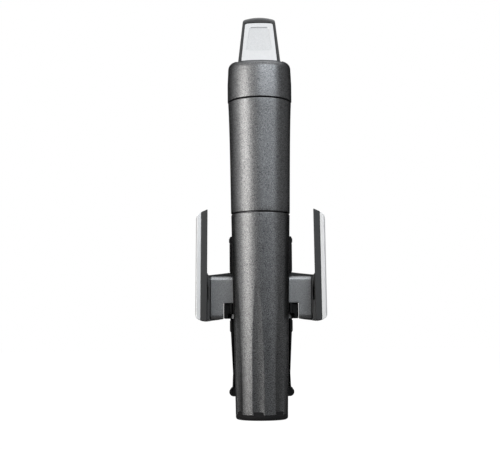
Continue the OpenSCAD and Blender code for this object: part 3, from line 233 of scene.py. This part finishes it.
def turned(name, profile):
    """A turned form: a ring at the profile's first point, drawn out and resized to each next one."""
    r, z = profile[0]
    bpy.ops.object.select_all(action="DESELECT")
    bpy.ops.mesh.primitive_circle_add(vertices=144, radius=r, location=(0, 0, z))
    piece = bpy.context.object
    piece.name = name
    bpy.ops.object.mode_set(mode="EDIT")
    bpy.ops.mesh.select_mode(type="EDGE")
    bpy.ops.mesh.select_all(action="SELECT")
    for next_r, next_z in profile[1:]:
        bpy.ops.mesh.extrude_region_move(TRANSFORM_OT_translate={"value": (0, 0, next_z - z)})
        bpy.ops.transform.resize(value=(next_r / r, next_r / r, 1), center_override=(0, 0, next_z))
        r, z = next_r, next_z
    bpy.ops.object.mode_set(mode="OBJECT")
    close_up(piece)
    return piece


def combine(piece, others, operation="DIFFERENCE"):
    """Cuts one piece with others, or joins them to it. The others are then thrown away."""
    for other in others:
        bpy.ops.object.select_all(action="DESELECT")
        bpy.context.view_layer.objects.active = piece
        step = piece.modifiers.new("step", "BOOLEAN")
        step.operation = operation
        step.solver = "EXACT"
        step.object = other
        bpy.ops.object.modifier_apply(modifier=step.name)
        bpy.data.objects.remove(other)


def soften(piece, width, segments=3, limit=35, smooth=35):
    """Breaks the sharp edges of a finished form and shades it smooth up to an angle."""
    pick(piece)
    if width:
        edge = piece.modifiers.new("edge", "BEVEL")
        edge.width = width
        edge.segments = segments
        edge.limit_method = "ANGLE"
        edge.angle_limit = radians(limit)
        edge.use_clamp_overlap = False
        edge.miter_outer = "MITER_ARC"
        bpy.ops.object.modifier_apply(modifier=edge.name)
    bpy.ops.object.shade_smooth_by_angle(angle=radians(smooth))
    faces = piece.modifiers.new("faces", "WEIGHTED_NORMAL")
    faces.keep_sharp = True
    bpy.ops.object.modifier_apply(modifier=faces.name)


def cup_radius(height):
    return cup_foot_r + (cup_mouth_r - cup_foot_r) * height / cup_height


cup = turned("capsule_cup", [
    (ring_boss_hole_r, ring_height), (cup_radius(ring_height) - cup_edge, ring_height),
    (cup_radius(ring_height), ring_height + cup_edge),
] + [(cup_radius(z * mm), z * mm) for z in range(10, 110, 10)] + [
    (cup_radius(cup_height - cup_lip), cup_height - cup_lip),
    (cup_mouth_r - cup_edge, cup_height - cup_lip_middle), (cup_mouth_r - cup_lip, cup_height),
    (thread_r, cup_height), (thread_r, thread_foot_z), (cup_bore_r, thread_foot_z), (cup_bore_r, cup_floor_z),
    (ring_boss_hole_r, cup_floor_z), (ring_boss_hole_r, ring_height),
])
flute_floor_r = cup_foot_r - flute_depth
flute_lean = atan((cup_radius(flute_height) - flute_floor_r) / flute_height)
flute_angles = [radians(first_flute + 360 * k / flute_count) for k in range(flute_count)]
scoops = []
for angle in flute_angles:
    bpy.ops.object.select_all(action="DESELECT")
    bpy.ops.mesh.primitive_cone_add(
        vertices=96, radius1=scoop_foot_r, radius2=scoop_top_r, depth=cup_height,
        location=(scoop_foot_r, 0, cup_height / 2)
    )
    scoop = bpy.context.object
    apply_place()
    scoop_lean = flute_lean + atan((scoop_top_r - scoop_foot_r) / cup_height)
    settle(scoop, location=(flute_floor_r, 0, 0), rotation=(0, scoop_lean, 0))
    settle(scoop, rotation=(0, 0, angle))
    scoops.append(scoop)
combine(cup, scoops)
soften(cup, 0.18 * mm, segments=2, limit=40, smooth=30)


def new_effect(name, settings, results):
    """A node group with numbers to set and masks to read, and the parts that every effect has."""
    group = bpy.data.node_groups.new(name, "ShaderNodeTree")
    for setting, value in settings.items():
        socket = group.interface.new_socket(setting, in_out="INPUT", socket_type="NodeSocketFloat")
        socket.default_value = value
    for result in results:
        group.interface.new_socket(result, in_out="OUTPUT", socket_type="NodeSocketFloat")
    group.interface.new_socket("Normal", in_out="OUTPUT", socket_type="NodeSocketVector")
    start = group.nodes.new("NodeGroupInput")
    end = group.nodes.new("NodeGroupOutput")
    place = group.nodes.new("ShaderNodeTexCoord").outputs["Object"]
    return group, start, end, place


def noise(group, place, scale, detail):
    texture = group.nodes.new("ShaderNodeTexNoise")
    texture.inputs["Scale"].default_value = scale
    texture.inputs["Detail"].default_value = detail
    group.links.new(place, texture.inputs["Vector"])
    return texture


def count_per_mm(group, count, texture):
    """Sets a texture's scale, which Blender counts for each metre."""
    for_each_metre = group.nodes.new("ShaderNodeMath")
    for_each_metre.operation = "MULTIPLY"
    for_each_metre.inputs[1].default_value = 1000
    group.links.new(count, for_each_metre.inputs[0])
    group.links.new(for_each_metre.outputs[0], texture.inputs["Scale"])


def relief(group, start, end, height, distance):
    """Turns a height into the effect's normal, by its depth."""
    bump = group.nodes.new("ShaderNodeBump")
    bump.inputs["Distance"].default_value = distance
    group.links.new(start.outputs["Depth"], bump.inputs["Strength"])
    group.links.new(height, bump.inputs["Height"])
    group.links.new(bump.outputs[0], end.inputs["Normal"])


def flake_effect():
    """Fine metal flakes in a powder coat, as a shade and a normal, and soft patches."""
    group, start, end, place = new_effect(
        "flake_effect", {"Flakes per mm": 3.0, "Depth": 0.8}, ("Shade", "Patch")
    )
    flake_noise = noise(group, place, scale=1, detail=1.5)
    flake_noise.inputs["Roughness"].default_value = 0.6
    count_per_mm(group, start.outputs["Flakes per mm"], flake_noise)
    contrast = group.nodes.new("ShaderNodeMapRange")
    contrast.inputs["From Min"].default_value = 0.35
    contrast.inputs["From Max"].default_value = 0.65
    group.links.new(flake_noise.outputs["Fac"], contrast.inputs["Value"])
    group.links.new(contrast.outputs[0], end.inputs["Shade"])
    patches = noise(group, place, scale=60, detail=3)
    group.links.new(patches.outputs["Fac"], end.inputs["Patch"])
    relief(group, start, end, flake_noise.outputs["Fac"], 0.05 * mm)
    return group


def surface(name, metallic, effect, shade, marks, tones, roughness, specular=0.5, **settings):
    """A material between two tones by an effect's shade, and between two roughnesses by its marks."""
    material = bpy.data.materials.new(name)
    material.use_nodes = True
    nodes, links = material.node_tree.nodes, material.node_tree.links
    shader = nodes["Principled BSDF"]
    shader.inputs["Metallic"].default_value = metallic
    shader.inputs["Specular IOR Level"].default_value = specular
    pattern = nodes.new("ShaderNodeGroup")
    pattern.node_tree = effect
    for setting, value in settings.items():
        pattern.inputs[setting.replace("_", " ")].default_value = value
    tone = nodes.new("ShaderNodeMix")
    tone.data_type = "RGBA"
    tone.inputs["A"].default_value = (*tones[0], 1)
    tone.inputs["B"].default_value = (*tones[1], 1)
    links.new(pattern.outputs[shade], tone.inputs["Factor"])
    links.new(tone.outputs["Result"], shader.inputs["Base Color"])
    span = nodes.new("ShaderNodeMapRange")
    span.inputs["To Min"].default_value = roughness[0]
    span.inputs["To Max"].default_value = roughness[1]
    links.new(pattern.outputs[marks], span.inputs["Value"])
    links.new(span.outputs[0], shader.inputs["Roughness"])
    links.new(pattern.outputs["Normal"], shader.inputs["Normal"])
    return material


flakes = flake_effect()


def flaked(name, dark, light, roughness, **settings):
    return surface(name, 1, flakes, "Shade", "Patch", (dark, light), roughness, **settings)


graphite = flaked("graphite_coat", (0.055, 0.056, 0.058), (0.285, 0.288, 0.292), (0.3, 0.42), specular=0.2)
coat_tint = graphite.node_tree.nodes["Principled BSDF"].inputs["Specular Tint"]
coat_tint.default_value = (0.15, 0.15, 0.15, 1)


def finish(piece, material, body, node):
    """Gives a piece its material and its body, and hides the CAD node that it stands for."""
    piece.data.materials.clear()
    piece.data.materials.append(material)
    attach(piece, body)
    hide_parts(node)


finish(cup, graphite, "capsule_cup", "capsule_cup")

# Base ring. A soft black ring is pressed on the cup's foot, so that the handle can stand on a table.
# Its edge is rounded, and a tab of it stands up in the foot of each flute.
tab_low_z, tab_high_z, tab_depth, tab_proud, tab_gap = 1.3 * mm, 4.4 * mm, 0.45 * mm, 0.05 * mm, 0.1 * mm
tab_half = flute_width / 2 - tab_gap


def block(name, low, high):
    """A block between two corners."""
    bpy.ops.object.select_all(action="DESELECT")
    bpy.ops.mesh.primitive_cube_add(size=1, location=[(a + b) / 2 for a, b in zip(low, high)])
    piece = bpy.context.object
    piece.name = name
    piece.scale = [b - a for a, b in zip(low, high)]
    apply_place()
    return piece


ring = turned("cup_base_ring", [(r * mm, z * mm) for r, z in (
    (2, 0), (12.2, 0), (12.75, 0.12), (13.2, 0.42), (13.48, 0.85), (13.6, 1.4), (13.6, 2.4), (13.45, 2.55),
    (4, 2.55), (4, 4.85), (2, 4.85), (2, 0),
)])
tabs = []
for angle in flute_angles:
    tab = block("tab", (0, -tab_half, tab_low_z), (tab_depth, tab_half, tab_high_z))
    settle(tab, location=(flute_floor_r + tab_proud, 0, 0), rotation=(0, flute_lean, 0))
    settle(tab, rotation=(0, 0, angle))
    tabs.append(tab)
combine(ring, tabs, "UNION")
soften(ring, 0.12 * mm, segments=2, limit=50)


def grain_effect():
    """The fine etched grain of a moulded piece, with the soft marks of handling."""
    group, start, end, place = new_effect("grain_effect", {"Grains per mm": 3.0, "Depth": 0.2}, ("Handling",))
    grain = group.nodes.new("ShaderNodeTexVoronoi")
    grain.feature = "SMOOTH_F1"
    group.links.new(place, grain.inputs["Vector"])
    count_per_mm(group, start.outputs["Grains per mm"], grain)
    handling = noise(group, place, scale=90, detail=4)
    group.links.new(handling.outputs["Fac"], end.inputs["Handling"])
    relief(group, start, end, grain.outputs["Distance"], 0.03 * mm)
    return group


grains = grain_effect()


def moulded(name, dark, light, roughness, **settings):
    return surface(name, 0, grains, "Handling", "Handling", (dark, light), roughness, **settings)


rubber = moulded(
    "soft_rubber", (0.006, 0.006, 0.0065), (0.012, 0.012, 0.0125), (0.6, 0.75), Depth=0.35, specular=0.2
)
finish(ring, rubber, "capsule_cup", "cup_base_ring")


def dress(material, *names):
    """A CAD piece whose shape is right keeps it, and gets its finish."""
    for name in names:
        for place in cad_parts[name].material_slots:
            place.material = material


dress(rubber, "cup_cushion")


# Gas capsule. The real one is a drawn and plated steel bottle, sealed at its neck by a thin steel disc.
# The cup pushes it up against the piercing pin.
def brushed_effect():
    """Fine parallel brush lines along one axis, with soft marks of handling."""
    group, start, end, place = new_effect(
        "brushed_effect", {"Along X": 40.0, "Along Y": 4000.0, "Along Z": 4000.0, "Depth": 0.1},
        ("Lines", "Handling")
    )
    scales = group.nodes.new("ShaderNodeCombineXYZ")
    for axis in "XYZ":
        group.links.new(start.outputs["Along " + axis], scales.inputs[axis])
    stretched = group.nodes.new("ShaderNodeVectorMath")
    stretched.operation = "MULTIPLY"
    group.links.new(place, stretched.inputs[0])
    group.links.new(scales.outputs[0], stretched.inputs[1])
    lines = noise(group, stretched.outputs[0], scale=1, detail=2)
    group.links.new(lines.outputs["Fac"], end.inputs["Lines"])
    handling = noise(group, place, scale=70, detail=4)
    group.links.new(handling.outputs["Fac"], end.inputs["Handling"])
    relief(group, start, end, lines.outputs["Fac"], 0.02 * mm)
    return group


brush = brushed_effect()


def metal(name, dark, light, roughness, along, depth):
    """Metal with brush lines, as many along each axis as it says. Few along an axis draw them out there."""
    return surface(
        name, 1, brush, "Lines", "Handling", (dark, light), roughness,
        Along_X=along[0], Along_Y=along[1], Along_Z=along[2], Depth=depth
    )


plated_steel = metal(
    "plated_steel", (0.6, 0.6, 0.61), (0.74, 0.74, 0.75), (0.22, 0.36), (1500, 1500, 90), 0.1
)
dress(plated_steel, "gas_capsule")

# Regulator. A turned body screws into the cup's mouth and carries the pin that pierces the capsule.
# A sprung brass piston inside it sets the pressure. These pieces are bare turned metal.
dark_metal = metal(
    "dark_anodised", (0.16, 0.16, 0.17), (0.24, 0.24, 0.25), (0.35, 0.5), (1200, 1200, 3000), 0.1
)
steel = metal("plain_steel", (0.5, 0.5, 0.5), (0.68, 0.68, 0.68), (0.25, 0.4), (1500, 1500, 1500), 0.05)
brass = metal("turned_brass", (0.6, 0.44, 0.18), (0.78, 0.6, 0.3), (0.22, 0.36), (900, 900, 3500), 0.1)
dress(dark_metal, "regulator_body", "regulator_cap")
dress(steel, "piercing_pin", "gas_tube")
dress(brass, "regulator_piston")
dress(rubber, "capsule_seal", "piston_seal")

# Grip. A drawn metal tube, powder coated as the cup is, covers the regulator.
# It flares a little towards the head, and the palm holds it.
grip_foot_z, grip_top_z = 107.5 * mm, 167 * mm
grip_foot_r, grip_flare, grip_bore_foot_r, grip_bore_top_r = 15.6 * mm, 1.2 * mm, 14 * mm, 15.2 * mm
straight_share, curved_share = 0.625, 0.375
grip_edge, grip_edge_middle = 0.4 * mm, 0.12 * mm
grip_steps = 16


def grip_radius(share):
    return grip_foot_r + grip_flare * (straight_share * share + curved_share * share ** 4)


grip = turned("grip_shell", [
    (grip_bore_foot_r, grip_foot_z), (grip_radius(0) - grip_edge, grip_foot_z),
    (grip_radius(0) - grip_edge_middle, grip_foot_z + grip_edge_middle),
    (grip_radius(0), grip_foot_z + grip_edge),
] + [
    (grip_radius(i / grip_steps), grip_foot_z + (grip_top_z - grip_foot_z) * i / grip_steps)
    for i in range(1, grip_steps)
] + [
    (grip_radius(1), grip_top_z - grip_edge),
    (grip_radius(1) - grip_edge_middle, grip_top_z - grip_edge_middle),
    (grip_radius(1) - grip_edge, grip_top_z), (grip_bore_top_r, grip_top_z), (grip_bore_foot_r, grip_foot_z),
])
soften(grip, 0, smooth=40)
finish(grip, graphite, "handle", "grip_shell")

# Head. The real shell is a painted casting with the grip's powder coat. A cap sits on the grip,
# and an arm reaches over the bottle to a nose round the needle. A slot lets the trigger out.
head_z, needle_y, head_wall = 167.5 * mm, 42 * mm, 1.6 * mm
cap_r, cap_side_height = 17.1 * mm, 9.5 * mm
cap_rim_r, cap_rim_height, cap_rim_lean = 12.5 * mm, 17.8 * mm, 8
nose_r, nose_rim_r, nose_height = 9.5 * mm, 5.3 * mm, 11.3 * mm
head_rounding, hollow_overrun = 4.2 * mm, 2 * mm
slot_half, slot_back_y, slot_front_y = 12 * mm, -9.37 * mm, 3.5 * mm
slot_floor_z, slot_open_z = 178.3 * mm, 200 * mm
spout_hole_r, spout_hole_y, spout_hole_length, spout_z = 3.5 * mm, 48 * mm, 14 * mm, 174.9 * mm


def head_form(name, inward, foot_z):
    """A tight skin over four forms: the cap, its leaning rim, the nose and the nose's rim."""
    bpy.ops.object.select_all(action="DESELECT")
    forms = []
    for y, radius, height in (
        (0, cap_r - inward, cap_side_height), (needle_y, nose_r - inward, nose_height - inward)
    ):
        bpy.ops.mesh.primitive_cylinder_add(
            vertices=144, radius=radius, depth=head_z + height - foot_z,
            location=(0, y, (head_z + height + foot_z) / 2)
        )
        forms.append(bpy.context.object)
    for y, rim_r, height, lean in (
        (0, cap_rim_r, cap_rim_height, cap_rim_lean), (needle_y, nose_rim_r, nose_height, 0)
    ):
        bpy.ops.mesh.primitive_torus_add(
            major_segments=144, minor_segments=56, major_radius=rim_r - inward / 2,
            minor_radius=head_rounding - inward / 2, location=(0, y, head_z + height - inward / 2),
            rotation=(radians(lean), 0, 0)
        )
        forms.append(bpy.context.object)
    for form in forms:
        form.select_set(True)
    bpy.context.view_layer.objects.active = forms[0]
    bpy.ops.object.join()
    skin = bpy.context.object
    skin.name = name
    edit(skin, "VERT")
    bpy.ops.mesh.select_all(action="SELECT")
    bpy.ops.mesh.convex_hull(join_triangles=True)
    bpy.ops.object.mode_set(mode="OBJECT")
    close_up(skin)
    return skin


head = head_form("head_shell", 0, head_z)
combine(head, [
    head_form("head_hollow", head_wall, head_z - hollow_overrun),
    block("trigger_slot", (-slot_half, slot_back_y, slot_floor_z), (slot_half, slot_front_y, slot_open_z)),
])
bpy.ops.mesh.primitive_cylinder_add(
    vertices=64, radius=spout_hole_r, depth=spout_hole_length, location=(0, spout_hole_y, spout_z),
    rotation=(radians(90), 0, 0)
)
combine(head, [bpy.context.object])
soften(head, 0.3 * mm, segments=3, limit=50, smooth=30)
finish(head, graphite, "handle", "head_shell")


# Black base plate. A moulded plate closes the head from below. Its collar stands in the grip,
# its boss takes the needle's thread, and its two ears carry the trigger's pin.
def copied(node, edge, segments=3, limit=35, smooth=35):
    """A CAD form made whole: its flats become single faces, and its edges are broken."""
    bpy.ops.object.select_all(action="DESELECT")
    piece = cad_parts[node].copy()
    piece.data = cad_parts[node].data.copy()
    piece.name = node
    piece.parent = None
    bpy.context.scene.collection.objects.link(piece)
    edit(piece, "VERT")
    bpy.ops.mesh.select_all(action="SELECT")
    bpy.ops.mesh.remove_doubles(threshold=0.002 * mm)
    bpy.ops.mesh.dissolve_limited(angle_limit=radians(0.4))
    bpy.ops.mesh.select_all(action="DESELECT")
    bpy.ops.object.mode_set(mode="OBJECT")
    soften(piece, edge, segments, limit, smooth)
    return piece


def remade(node, material, body, edge, segments=3, limit=50, smooth=35):
    """A finished copy of a CAD form, which stands for it."""
    piece = copied(node, edge, segments, limit, smooth)
    finish(piece, material, body, node)
    return piece


black = moulded(
    "black_moulding", (0.003, 0.003, 0.0034), (0.007, 0.007, 0.0075), (0.42, 0.55), specular=0.25
)
remade("head_base", black, "handle", 0.2 * mm, limit=35)

# Valve. A pale moulded block holds the plunger that lets the gas through, with its O-ring and spring.
# A second block joins gas and wine above the needle. The regulator's spring is finished here too.
pale = moulded("natural_moulding", (0.6, 0.59, 0.55), (0.68, 0.67, 0.63), (0.4, 0.55), Depth=0.1)
dress(pale, "valve_block", "flow_block")
dress(rubber, "valve_seal", "hub_seal")
dress(steel, "head_screws", "valve_plunger", "trigger_pin", "trigger_spring")


def sprung(node):
    """A coil spring with a mesh of its own. The real one shortens towards its fixed far end as the piece on
    it moves.
    """
    spring = remade(node, steel, "handle", 0, smooth=60)
    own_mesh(spring)


sprung("valve_spring")
sprung("regulator_spring")

# Trigger. A dark moulded lever with a crowned top leans towards the spout and turns on a steel pin.
# A satin silver plate is set into its back, with a shallow hollow for the thumb.
trigger_lean, hollow_least_depth, facing_back = radians(18), 0.2 * mm, 0.95
dark = moulded("dark_grey_moulding", (0.02, 0.0205, 0.021), (0.032, 0.0325, 0.033), (0.38, 0.5))
remade("trigger_lever", dark, "trigger", 0.5 * mm, 4, limit=35)
satin = metal("satin_silver", (0.6, 0.605, 0.61), (0.7, 0.705, 0.71), (0.36, 0.46), (2500, 2500, 60), 0.06)
plate = remade("trigger_plate", satin, "trigger", 0.15 * mm, 2, limit=35)
# The hollow's floor gets a second, darker flaked metal. Its darkness is painted shade in the hollow, and its
# flakes are the plate's own grain there.
plate.data.materials.append(flaked(
    "hollow_painted_shade_metal", (0.52, 0.525, 0.53), (0.66, 0.665, 0.67), (0.38, 0.48), Flakes_per_mm=3.6, Depth=0.5
))
outward = Vector((0, -cos(trigger_lean), sin(trigger_lean)))
back_level = max(outward.dot(point.co) for point in plate.data.vertices)
for face in plate.data.polygons:
    depth = back_level - outward.dot(face.center)
    if outward.dot(face.normal) > facing_back and depth > hollow_least_depth:
        face.material_index = 1

# Spout. A black moulded tube leaves the nose, runs forward and turns down to pour.
# A bright turned ring sits round its root.
remade("spout", black, "handle", 0.2 * mm, 2, smooth=40)
chrome = metal("bright_metal", (0.78, 0.785, 0.79), (0.84, 0.845, 0.85), (0.1, 0.18), (40, 3000, 3000), 0.02)
remade("spout_collar", chrome, "handle", 0.3 * mm, smooth=40)

# Needle. A ground steel tube with side holes goes through the cork. It screws into the head by a
# black knurled collar with an O-ring.
needle_steel = metal(
    "needle_steel", (0.62, 0.62, 0.62), (0.74, 0.74, 0.74), (0.18, 0.28), (3000, 3000, 60), 0.03
)
remade("needle", needle_steel, "handle", 0, smooth=50)
remade("needle_hub", black, "handle", 0.12 * mm, 2, smooth=40)

# Rail. A black moulded track is screwed to the back of the grip, and a bar with two rounded ends
# closes it at its foot.
remade("rail", black, "handle", 0.3 * mm)
remade("rail_end_stop", black, "handle", 0.25 * mm)
dress(steel, "rail_screws", "end_stop_screw")

# Clamp carriage. One black moulding slides on the rail. It has the hinge ears for the two arms,
# the rest behind the bottle's neck, and the plate that stands on the bottle's mouth.
remade("clamp_carriage", black, "clamp_carriage", 0.35 * mm)
dress(pale, "needle_guide")
dress(rubber, "guide_foot_pad", "neck_rest_pad")
dress(steel, "hinge_pin_left", "hinge_pin_right", "arm_spring_left", "arm_spring_right")

# Clamp arms. Each is a dark grey moulding that turns on a vertical pin: a hub, an arm, an elbow and
# a wing for the fingers, and a jaw with a rubber pad in front. A silver plate covers the arm's back,
# and a bright cover is screwed over the wing.
cover_rounding, facing_wing, facing_end = 1.1 * mm, 0.5, 0.95
blasted = flaked("blasted_metal", (0.24, 0.243, 0.246), (0.46, 0.464, 0.468), (0.36, 0.46), Depth=0.6)
bright = metal(
    "bright_cover_metal", (0.84, 0.84, 0.84), (0.9, 0.9, 0.9), (0.26, 0.36), (3000, 3000, 60), 0.03
)
bright.node_tree.nodes["Principled BSDF"].inputs["Metallic"].default_value = 0.35


def cover(side, outside):
    """The wing's cover: its copy's outer rim is rounded, and its inner rim stays tight on the wing."""
    node = "wing_cover_" + side
    piece = copied(node, 0)
    inner, flat = set(), set()
    for face in piece.data.polygons:
        if face.normal.x * outside < -facing_wing:
            inner.update(face.edge_keys)
        elif abs(face.normal.y) > facing_end:
            flat.update(face.edge_keys)
    outer = flat - inner
    bpy.context.tool_settings.mesh_select_mode = (False, True, False)
    for line in piece.data.edges:
        line.select = line.key in outer
    edit(piece, "EDGE")
    bpy.ops.mesh.bevel(offset=cover_rounding, segments=6, affect="EDGES", clamp_overlap=True)
    bpy.ops.mesh.select_all(action="DESELECT")
    bpy.ops.object.mode_set(mode="OBJECT")
    soften(piece, 0)
    finish(piece, bright, "arm_" + side, node)


for side, outside in (("left", -1), ("right", 1)):
    body = "arm_" + side
    remade("clamp_arm_" + side, dark, body, 0.3 * mm)
    remade("arm_plate_" + side, blasted, body, 0.2 * mm, 2)
    cover(side, outside)
    dress(rubber, "jaw_pad_" + side)
    dress(steel, "wing_screws_" + side)
